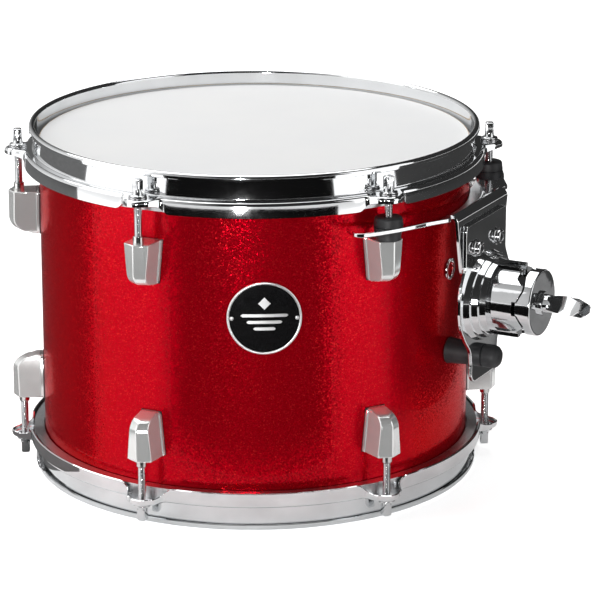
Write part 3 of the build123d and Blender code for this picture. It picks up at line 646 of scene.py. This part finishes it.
rod, washer, nut = rod_mesh(), washer_mesh(), nut_mesh()
nut_places = []
for level, lower in (("top", False), ("bottom", True)):
    flip = LOWER if lower else Matrix.Identity(4)
    for number, azimuth in enumerate(LUG_AZIMUTHS, start=1):
        # LOWER turns the drum over about X, which sends azimuth a to 180 - a
        spot = turn(180 - azimuth if lower else azimuth)
        out = Matrix.Translation((ROD_R * MM, 0, 0))
        whole = flip @ spot
        casing = place(f"{level}_lug_casing_{number}", lug_body, "lug_chrome", "drum",
                       (f"{level}_lug_{number}",), whole)
        bevel(casing, 0.75)
        place(f"{level}_lug_foot_{number}", lug_foot, "lug_chrome", "drum", (), whole)
        place(f"{level}_rod_{number}", rod, "rod_chrome", f"{level}_rod_{number}",
              (f"{level}_tension_rod_{number}",), whole @ out)
        place(f"{level}_washer_{number}", washer, "washer_steel", f"{level}_washer_{number}",
              (f"{level}_rod_washer_{number}",), whole @ out)
        nut_places.append(whole @ out)
place("lug_nuts", join("lug_nuts", [(nut, m) for m in nut_places]), "nut_metal", "drum", ("swivel_nuts",))


# ---- badge and vent ------------------------------------------------------------------------------
BADGE_Z = 150.0


def on_shell(across, height, lift):
    r = WRAP_R + lift
    return (across, -sqrt(r * r - across * across), BADGE_Z + height)


def badge_ring(name, levels, closed_centre=False, count=96):
    points, faces = [], []
    for radius, lift in levels:
        for k in range(count):
            t = 2 * pi * k / count
            points.append(on_shell(radius * cos(t), radius * sin(t), lift))
    faces = grid_faces(len(levels), count)
    if closed_centre:
        points.append(on_shell(0, 0, levels[-1][1]))
        last = (len(levels) - 1) * count
        faces += [(last + k, last + (k + 1) % count, len(points) - 1) for k in range(count)]
    return make_mesh(name, points, faces)


rim_levels = [(25.3, 0.05), (25.3, 0.9), (25.05, 1.15), (24.6, 1.25),
              (24.1, 1.22), (23.75, 1.0), (23.6, 0.7)]
face_levels = [(23.75, 0.75)] + [(r, 0.8) for r in (23.0, 20.0, 16.0, 12.0, 8.0, 4.0, 1.5)]
place("badge_rim", badge_ring("badge_rim", rim_levels), "badge_metal", "drum", ("badge",))
place("badge_face", badge_ring("badge_face", face_levels, True), "badge_enamel", "drum")


def badge_strip(half, middle, tall, pointed=False, columns=24):
    """A raised bar across the badge that follows its curve; pointed makes it a lozenge."""
    loops = []
    for i in range(columns + 1):
        share = 2 * i / columns - 1
        rounded_end = sqrt(max(0.0, (1 - abs(share)) * half / (0.5 * tall)))
        reach = (1 - abs(share)) if pointed else min(1.0, rounded_end)
        h = 0.5 * tall * max(reach, 0.06)
        x = half * share
        loops.append([on_shell(x, middle - h, 0.7), on_shell(x, middle + h, 0.7),
                      on_shell(x, middle + h * 0.86, 1.06), on_shell(x, middle - h * 0.86, 1.06)])
    faces = grid_faces(columns + 1, 4)
    faces += [(3, 2, 1, 0), tuple(4 * columns + k for k in range(4))]
    return make_mesh("strip", [p for loop in loops for p in loop], faces)


# a plain generic motif: a small lozenge over three level bars
motif = [badge_strip(half, middle, 2.4) for half, middle in ((16.0, 2.0), (12.0, -2.6), (7.5, -7.2))]
motif.append(badge_strip(4.2, 10.4, 9.0, True))
place("badge_motif", join("badge_motif", [(m, Matrix.Identity(4)) for m in motif]), "badge_metal", "drum")

nail = lathe("nail", [(0.7, -4.0), (0.7, 0.2), (1.4, 0.25), (1.36, 0.6), (1.0, 0.9), (0.5, 1.02),
                      (0.0, 1.05)], 24, closed=False)
nail_parts = []
for side in (-1, 1):
    x = 22.0 * side
    normal = Vector((x, -sqrt((WRAP_R + 0.9) ** 2 - x * x), 0)).normalized()
    at = Vector(on_shell(x, 0, 0.85)) * MM
    nail_parts.append((nail, Matrix.Translation(at) @ normal.to_track_quat("Z", "Y").to_matrix().to_4x4()))
place("badge_pins", join("badge_pins", nail_parts), "badge_metal", "drum", ("badge_nails",))


def along(azimuth, radius, height):
    """Matrix that stands a lathed piece on the radial line at an azimuth, its +Z pointing outwards."""
    return (Matrix.Translation((0, 0, height * MM)) @ turn(azimuth)
            @ Matrix.Translation((radius * MM, 0, 0)) @ Matrix.Rotation(pi / 2, 4, "Y"))


grommet = lathe("grommet", [(5.0, -8.0), (5.6, -8.0), (5.6, 0.2), (7.3, 0.2), (7.5, 0.5), (7.3, 1.0),
                            (6.6, 1.35), (5.8, 1.3), (5.2, 0.8), (5.0, 0.1)], 48)
place("vent_ring", grommet, "vent_metal", "drum", ("vent_grommet",), along(MOUNT_AZ, WRAP_R, VENT_Z))


# ---- suspension arm, plate, rubbers --------------------------------------------------------------
ARM_TOP = 211.0
ARM_T = 2.8
INNER_R = 156.6
OUTER_R = 177.0
TAB_X = 177.2
BEND = 5.5
TAB_W = 42.5


def arm_mesh():
    """Curved shelf, rounded bend and tab of one bent steel strip."""
    start = TAB_X - BEND
    outer = [(OUTER_R * cos(radians(a)), OUTER_R * sin(radians(a))) for a in np.linspace(39.0, 21.5, 16)]
    tip_out = (OUTER_R * cos(radians(40)), OUTER_R * sin(radians(40)))
    tip_in = (INNER_R * cos(radians(40)), INNER_R * sin(radians(40)))
    corner = rounded([(INNER_R * cos(radians(36)), INNER_R * sin(radians(36))), tip_in, tip_out,
                      (OUTER_R * cos(radians(36)), OUTER_R * sin(radians(36)))], [0, 9.0, 9.0, 0], 8)
    inner = [(INNER_R * cos(radians(a)), INNER_R * sin(radians(a))) for a in np.linspace(0, 35, 36)]
    outer = [p for p in outer if p[1] < corner[-1][1] - 0.5]
    sweep = rounded([outer[-1], (start + 3.2, TAB_W + 5.5), (start, TAB_W)], [0, 7.0, 0], 8)[1:-1]
    upper = inner + corner[1:] + outer + sweep + [(start, TAB_W)]
    lower = [(x, -y) for x, y in reversed(upper)][:-1]
    outline = lower + upper
    outline = [p for i, p in enumerate(outline)
               if i == 0 or hypot(p[0] - outline[i - 1][0], p[1] - outline[i - 1][1]) > 1e-6]
    n = len(outline)
    points = [(x, y, ARM_TOP) for x, y in outline] + [(x, y, ARM_TOP - ARM_T) for x, y in outline]
    faces = [tuple(range(n)), tuple(reversed(range(n, 2 * n)))]
    faces += [(i, (i + 1) % n, n + (i + 1) % n, n + i) for i in range(n)
              if not (abs(outline[i][0] - start) < 1e-6 and abs(outline[(i + 1) % n][0] - start) < 1e-6)]
    # bend and tab
    low = ARM_TOP - BEND
    turns = [radians(a) for a in np.linspace(0, 90, 11)]
    outer_line = [(start + BEND * sin(t), low + BEND * cos(t)) for t in turns]
    small = BEND - ARM_T
    inner_line = [(start + small * sin(t), low + small * cos(t)) for t in turns]
    for z in (190.0, 178.0, 172.0):
        outer_line.append((TAB_X, z))
        inner_line.append((TAB_X - ARM_T, z))
    base = len(points)

    def half_width(z):
        return TAB_W if z > low else 33.5 + (TAB_W - 33.5) * (z - 166.0) / (low - 166.0)

    for (xo, zo), (xi, zi) in zip(outer_line, inner_line):
        w = half_width(zo)
        points += [(xo, -w, zo), (xo, w, zo), (xi, w, zi), (xi, -w, zi)]
    bottom = rounded([(-34.5, 172.0), (-33.0, 166.0), (33.0, 166.0), (34.5, 172.0)], [0, 4.0, 4.0, 0], 6)
    count = len(outer_line)
    for i in range(count - 1):
        a, b = base + 4 * i, base + 4 * (i + 1)
        faces += [(a + j, a + (j + 1) % 4, b + (j + 1) % 4, b + j) for j in range(4)]
    last = base + 4 * (count - 1)
    w = half_width(172.0)
    m = len(points)
    edge = bottom[1:-1]
    points += [(TAB_X, y, z) for y, z in edge] + [(TAB_X - ARM_T, y, z) for y, z in edge]
    k = len(edge)
    faces.append((last, *range(m, m + k), last + 1))
    faces.append((last + 2, *reversed(range(m + k, m + 2 * k)), last + 3))
    faces.append((last, last + 3, m + k, m))
    faces += [(m + i, m + k + i, m + k + i + 1, m + i + 1) for i in range(k - 1)]
    faces.append((m + k - 1, m + 2 * k - 1, last + 2, last + 1))
    return make_mesh("arm_sheet", points, faces, 28.0)


arm = place("hanging_arm", arm_mesh(), "mount_chrome", "drum", ("suspension_arm",), turn(MOUNT_AZ))
bevel(arm, 0.5, 2, 40.0)


def plate_mesh():
    """Square-topped plate that widens behind the clamp and ends in a rounded tongue."""
    side = [(34.0, PLATE_TOP), (34.0, 171.0), (41.6, 158.0), (43.0, CLAMP_Z), (40.0, 130.0), (31.0, 118.0),
            (23.0, 110.0), (21.5, 100.0), (21.5, PLATE_FOOT)]
    radii = [4.0, 10.0, 14.0, 40.0, 22.0, 22.0, 14.0, 10.0, 9.5]
    loop = side + [(-x, z) for x, z in reversed(side)]
    outline = rounded(loop, radii + radii[::-1], 7, True)
    outline = [p for i, p in enumerate(outline)
               if hypot(p[0] - outline[i - 1][0], p[1] - outline[i - 1][1]) > 1e-4]
    return extrude_outline("plate_sheet", outline, TAB_X, PLATE_FACE)


plate = place("outer_plate", plate_mesh(), "mount_chrome", "drum", ("mount_plate",), turn(MOUNT_AZ))
bevel(plate, 0.6, 3, 40.0)


def socket_bolt_mesh():
    """Button head on a flat collar, with a hexagon socket."""
    count = 48
    rings = []

    def ring(radius, z, hexed=False):
        out = []
        for k in range(count):
            t = 2 * pi * k / count
            r = radius / cos((t % (pi / 3)) - pi / 6) * cos(pi / 6) if hexed else radius
            out.append((r * cos(t), r * sin(t), z))
        rings.append(out)

    for radius, z in ((6.0, 0.0), (6.0, 0.8), (5.7, 1.05), (5.0, 1.1),
                      (5.0, 2.6), (4.7, 3.7), (4.1, 4.35), (3.2, 4.6)):
        ring(radius, z)
    ring(2.75, 4.6, True)
    ring(2.6, 4.3, True)
    ring(2.6, 2.2, True)
    points = [p for r in rings for p in r] + [(0, 0, 2.0), (0, 0, 0)]
    faces = grid_faces(len(rings), count)
    last = (len(rings) - 1) * count
    faces += [(last + k, last + (k + 1) % count, len(points) - 2) for k in range(count)]
    faces += [((k + 1) % count, k, len(points) - 1) for k in range(count)]
    return make_mesh("socket_bolt", points, faces)


socket_bolt = socket_bolt_mesh()
bolt_shank = thread_mesh("bolt_thread", 3.0, 0.35, 1.0, -10.6, 0.2, 18)
bolt_parts = []
for side in (-1, 1):
    where = (Matrix.Translation((0, 0, BOLT_Z * MM)) @ turn(MOUNT_AZ)
             @ Matrix.Translation((PLATE_FACE * MM, 17.0 * side * MM, 0)) @ Matrix.Rotation(pi / 2, 4, "Y"))
    bolt_parts += [(socket_bolt, where), (bolt_shank, where)]
place("plate_screws", join("plate_screws", bolt_parts), "bolt_steel", "drum", ("plate_bolts",))


def isolator_mesh():
    top, low = ISOLATOR_TOP, HEIGHT - LUG_END
    shelf_top, shelf_low = ARM_TOP, ARM_TOP - ARM_T
    outer = [(3.3, top), (7.6, top)] + arc_points(7.9, top - 1.6, 1.6, 90, 10, 6)
    outer += [(9.9, shelf_top + 1.2), (9.9, shelf_top + 0.15), (7.4, shelf_top + 0.02),
              (7.4, shelf_low - 0.02), (9.0, shelf_low - 0.1), (9.0, shelf_low - 1.2),
              (8.5, low + 1.2), (8.8, low + 0.5), (8.4, low + 0.05),
              (4.0, low + 0.05), (4.0, low + 5.5), (3.3, low + 5.7)]
    return lathe("isolator", outer, 56)


isolator = isolator_mesh()
isolator_parts = []
for offset in (-30, 30):
    isolator_parts.append((isolator, turn(MOUNT_AZ + offset) @ Matrix.Translation((ROD_R * MM, 0, 0))))
place("isolators", join("isolators", isolator_parts), "black_rubber", "drum", ("rubber_isolators",))

reach = PLATE_FACE - WRAP_R
bumper = lathe("bumper", [(0.0, 12.4), (3.0, 12.3), (5.6, 11.4), (7.4, 9.6), (8.2, 7.2), (8.3, 4.0),
                          (8.2, 0.6), (7.6, 0.02), (4.5, 0.0), (4.5, -2.8), (7.2, -2.85),
                          (7.4, -4.0), (9.2, -reach + 1.6),
                          (9.4, -reach + 0.8), (9.0, -reach + 0.35), (0.0, -reach + 0.3)], 48, closed=False)
place("rubber_bumper", bumper, "black_rubber", "drum", ("lower_bumper",),
      along(MOUNT_AZ, PLATE_FACE, BUMPER_Z))

# ---- clamp ---------------------------------------------------------------------------------------
softened("clamp_base", "clamp_body", "clamp_chrome", "drum", 0.45)
softened("clamp_cap", "clamp_cover", "clamp_chrome", "clamp_cap", 0.5)
softened("wing_nut", "wing_handle", "wing_chrome", "wing_nut", 0.7)

# ---- stage, lights, camera -----------------------------------------------------------------------
floor_mesh = bpy.data.meshes.new("floor")
ring_points = [(12 * cos(2 * pi * k / 96), 12 * sin(2 * pi * k / 96), 0) for k in range(96)]
floor_mesh.from_pydata(ring_points, [], [tuple(range(96))])
floor_mesh.materials.append(pale_floor("pale_floor"))
floor = bpy.data.objects.new("floor", floor_mesh)
floor.location.z = -0.0002
bpy.context.scene.collection.objects.link(floor)


def flag(name, corners, tone, level=0.0015, glow=0.0):
    """A cloth laid on the set, which is seen only in polished surfaces; given glow it shines though it is no
    lamp, painted light in those reflections.
    """
    mesh = bpy.data.meshes.new(name)
    mesh.from_pydata([(x, y, level) for x, y in corners], [], [tuple(range(len(corners)))])
    m = Nodes(name + "_cloth")
    m.link(m.ramp(m.noise(20.0), "Fac", [(0.3, (tone * 0.8,) * 3), (0.7, (tone,) * 3)]),
           "Color", m.bsdf, "Base Color")
    m.set(Roughness=1.0, Specular_IOR_Level=0.0, Emission_Color=(1, 1, 1, 1), Emission_Strength=glow)
    mesh.materials.append(m.mat)
    card = bpy.data.objects.new(name, mesh)
    bpy.context.scene.collection.objects.link(card)
    card.visible_camera = False
    card.visible_diffuse = False
    card.visible_shadow = False
    card.visible_transmission = False


flag("front_flag", [(-0.188, -0.25), (-2.29, -2.14), (0.0, -4.2), (1.9, -2.51), (0.13, -0.25)], 0.006)
flag("right_flag", [(0.30, -0.183), (3.0, -0.96), (3.1, 1.5), (0.4, 1.5), (0.30, 0.2)], 0.07)
flag("mount_flag", [(0.40, 0.10), (0.52, -0.02), (0.70, 0.10), (0.74, 0.24), (0.60, 0.27)], 0.3, 0.0022)
flag("left_flag", [(-0.175, -0.089), (-3.1, 0.32), (-3.1, 3.0), (-1.0, 3.0), (-0.1, 0.17)], 0.2)
near_circle = [(0.8 * cos(2 * pi * k / 64), 0.8 * sin(2 * pi * k / 64)) for k in range(64)]
# painted light: this pale cloth glows at 0.2 though it is no lamp, a painted brightening of its reflection in
# the chrome and the wrap
flag("near_glowing_cloth", near_circle, 0.9, 0.0008, 0.2)


def softbox(name, azimuth, distance, height, size, power, aim=(0, 0, 0.12), tint=(1, 1, 1)):
    light = bpy.data.lights.new(name, "AREA")
    light.shape = "RECTANGLE"
    light.size, light.size_y = size
    light.energy = power
    light.color = tint
    obj = bpy.data.objects.new(name, light)
    a = radians(azimuth)
    obj.location = (distance * sin(a), -distance * cos(a), height)
    direction = Vector(aim) - obj.location
    obj.rotation_euler = direction.to_track_quat("-Z", "Y").to_euler()
    bpy.context.scene.collection.objects.link(obj)
    return obj


softbox("overhead", -150, 0.7, 2.0, (2.4, 2.4), 37)
softbox("left_box", -73, 1.5, 0.75, (1.2, 1.4), 3.5)
softbox("right_box", 62, 1.7, 0.75, (1.2, 1.4), 6.5)
softbox("front_key", -9, 2.1, 0.25, (0.12, 0.4), 20)

world = bpy.data.worlds.new("studio")
bpy.context.scene.world = world
world.use_nodes = True
tree = world.node_tree
tree.nodes.clear()
surface = tree.nodes.new("ShaderNodeOutputWorld")
background = tree.nodes.new("ShaderNodeBackground")
coords = tree.nodes.new("ShaderNodeTexCoord")
toward = tree.nodes.new("ShaderNodeVectorMath")
toward.operation = "DOT_PRODUCT"
toward.inputs[1].default_value = (-0.985, 0.17, 0.0)
span = tree.nodes.new("ShaderNodeMapRange")
span.inputs["From Min"].default_value = 0.15
span.inputs["From Max"].default_value = 0.9
span.inputs["To Min"].default_value = 0.03
span.inputs["To Max"].default_value = 0.9
tree.links.new(coords.outputs["Generated"], toward.inputs[0])
tree.links.new(toward.outputs["Value"], span.inputs["Value"])
tree.links.new(span.outputs["Result"], background.inputs["Color"])
background.inputs["Strength"].default_value = 1.0
tree.links.new(background.outputs[0], surface.inputs[0])

AZIMUTH, PITCH, DISTANCE = -2.31, 16.76, 2.276
back = Vector((sin(radians(AZIMUTH)) * cos(radians(PITCH)), -cos(radians(AZIMUTH)) * cos(radians(PITCH)),
               sin(radians(PITCH))))
right = Vector((cos(radians(AZIMUTH)), sin(radians(AZIMUTH)), 0))
down = right.cross(back)
camera_data = bpy.data.cameras.new("camera")
camera_data.lens = 190.2
camera_data.sensor_width = 36.0
camera_data.clip_end = 50.0
camera = bpy.data.objects.new("camera", camera_data)
centre = Vector((0, 0, 0.125))
camera.location = centre + back * DISTANCE
target = centre + right * 0.0322 + down * 0.00845
camera.rotation_euler = (target - camera.location).to_track_quat("-Z", "Y").to_euler()
bpy.context.scene.collection.objects.link(camera)
bpy.context.scene.camera = camera
bpy.context.scene.view_settings.view_transform = "Standard"
bpy.context.scene.view_settings.look = "None"
